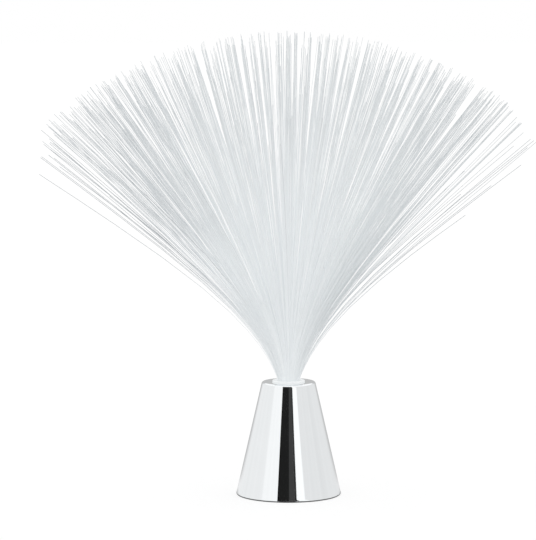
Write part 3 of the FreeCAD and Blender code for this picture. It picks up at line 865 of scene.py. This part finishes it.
def white_floor():
    """White table that keeps a faint shadow. Shiny parts see it lit close to the lamp, with painted shade
    at the lamp's rim and a painted dark reflection in front, and further off a painted reflection of
    the room's tone."""
    finish = new_finish("floor_white")
    camera_ray, glossy, through = (finish.node("ShaderNodeLightPath", None, None, f"Is {kind} Ray")
                                   for kind in ("Camera", "Glossy", "Transmission"))
    place = finish.place()
    x, y = finish.axes(place, 2)
    azimuth, walls = room_tone(finish, x, y)
    away = finish.node("ShaderNodeVectorMath", {"operation": "LENGTH"}, {0: place}, 1)
    near = finish.ease(away, *FLOOR_LIT, 1.0, 0.0)
    # painted shade round the lamp's rim, as shiny parts see the table
    rim = finish.ease(away, *FLOOR_SHADE, FLOOR_PAINTED_SHADE_TONE, 1.0)
    front_start, front_end = FLOOR_FRONT
    # painted dark reflection in front of the lamp
    front = finish.ease(azimuth, *front_start) * finish.ease(azimuth, *front_end, 1.0, 0.0)
    seen = camera_ray + through
    # painted reflection of the room's tone in the table further off
    painted_room_reflection = glossy * (1 - near) * walls
    bright = near * rim * (1 - FLOOR_PAINTED_FRONT_DIM * front)
    shade = finish.mix(seen + glossy * (1 - bright), grey(0.8), grey(0.0))
    colour = finish.mix(seen, shade, grey(FLOOR_COLOUR))
    glow = finish.mix(seen * FLOOR_GLOW + painted_room_reflection, grey(0.0), grey(1.0))
    finish.surface(Base_Color=colour, Roughness=1.0, Specular_IOR_Level=0.0,
                   Emission_Color=glow, Emission_Strength=1.0)
    mesh = bpy.data.meshes.new("floor")
    sides = FLOOR_SIDES
    turns = [2 * math.pi * i / sides for i in range(sides)]
    corners = [(r * math.cos(a), r * math.sin(a), 0.0) for r in (FLOOR_HOLE_R, FLOOR_R) for a in turns]
    faces = [(i, sides + i, sides + (i + 1) % sides, (i + 1) % sides) for i in range(sides)]
    mesh.from_pydata(corners, [], faces)
    mesh.materials.append(finish.owner)
    floor = bpy.data.objects.new("floor", mesh)
    bpy.context.scene.collection.objects.link(floor)


def studio_world():
    """White room; shiny parts also see a dark front opening between two white screens."""
    world = bpy.data.worlds.new("studio")
    bpy.context.scene.world = world
    room = Finish(world)
    glossy = room.node("ShaderNodeLightPath", None, None, "Is Glossy Ray")
    x, y, z = room.axes(room.node("ShaderNodeTexCoord"), 3)
    azimuth, walls = room_tone(room, x, y)
    height = room.node("ShaderNodeMath", {"operation": "ARCSINE"}, {0: z}) * RADIAN
    lower = FLANK_HEIGHT - height

    def band(start, end, soft, widening=0.0):
        """One inside a band of azimuth and nothing outside it."""
        rise = room.ease(azimuth, start - soft, start + soft)
        fall = room.ease(azimuth - lower * widening, end - soft, end + soft, 1.0, 0.0)
        return rise * fall

    along = room.node("ShaderNodeCombineXYZ", None, {0: azimuth * UNEVEN_PER_DEGREE})
    uneven = room.noise(along, scale=1.0, detail=3.0) * WALL_UNEVEN - WALL_UNEVEN / 2
    ceiling = room.ease(height, *CEILING_START)
    screens = band(*LEFT_SCREEN) * LEFT_SCREEN_GAIN + band(*RIGHT_SCREEN) * RIGHT_SCREEN_GAIN
    sides = walls + uneven + screens - band(*CORNER) * CORNER_DIM
    lit = sides * (1 - ceiling) + ceiling * CEILING
    front = band(*OPENING) * room.ease(height, *OPENING_TOP, 1.0, 0.0)
    gloom = band(*LEFT_GLOOM) * LEFT_GLOOM_TONE + band(*RIGHT_GLOOM) * RIGHT_GLOOM_TONE
    shiny = lit * (1 - front) + gloom * front
    background = room.node("ShaderNodeBackground", None,
                           {"Color": grey(1.0), "Strength": 1 - glossy * (1 - shiny)})
    room.node("ShaderNodeOutputWorld", None, {"Surface": background})


def camera():
    data = bpy.data.cameras.new("camera")
    data.sensor_width = SENSOR_W
    data.lens = FOCAL_PIXELS / FRAME_LONG_SIDE * SENSOR_W
    data.shift_x = -AXIS_OFFSET_PIXELS[0] / FRAME_LONG_SIDE
    data.shift_y = -AXIS_OFFSET_PIXELS[1] / FRAME_LONG_SIDE
    eye = bpy.data.objects.new("camera", data)
    eye.location = CAMERA_AT
    aim = Vector(CAMERA_AIM) - Vector(CAMERA_AT)
    eye.rotation_euler = aim.to_track_quat("-Z", "Y").to_euler()
    bpy.context.scene.collection.objects.link(eye)
    bpy.context.scene.camera = eye


# ---------------------------------------------------------------- the lamp

def paint_node(node, finish):
    """Gives a node of the frame its finish."""
    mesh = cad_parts[node].data
    if not mesh.materials:
        mesh.materials.append(finish)
    for i in range(len(mesh.materials)):
        mesh.materials[i] = finish


camera()
plated_cone(chrome_plating())
collar_white = collar_plastic()
white_collar(collar_white)
fibre_tufts(fibre_plastic())

black = black_plastic("black_plastic", 2600.0, 0.00002, shade=24)
zinc = screw_zinc()
for index in range(len(SCREW_TURNS)):
    base_screw(index, zinc)
raised_word("ON", WORD_AT[0], WORD_AT[1], black)
raised_word("OFF", WORD_AT[0], -WORD_AT[1], black)
door_arrow(black)

for finish, nodes in (
    (black, ("base_plate", "battery_door")),
    (black_plastic("knob_plastic", 4200.0, 0.00001, shade=34), ("switch_slider",)),
    (collar_white, ("ferrule_socket",)),
    (cast_resin(), ("fibre_plug",)),
    (board_laminate(), ("circuit_board",)),
    (lamp_chip(), ("led",)),
    (nickel_plate(), ("switch_body", "contact_negative", "contact_positive", "contact_bridge_1",
                      "contact_bridge_2", "contact_spring_1", "contact_spring_2", "contact_spring_3")),
    (cell_jacket(), ("battery_cell_1", "battery_cell_2", "battery_cell_3")),
    (lead_sleeve("lead_red", tone(168, 22, 20), tone(190, 34, 28)), ("lead_positive", "lead_switch")),
    (lead_sleeve("lead_black", tone(22, 22, 23), tone(34, 34, 36)), ("lead_negative",)),
):
    for node in nodes:
        paint_node(node, finish)
for node, width in SOFT_EDGES.items():
    soften(node, width)

white_floor()
studio_world()
bpy.context.scene.view_settings.view_transform = "Standard"
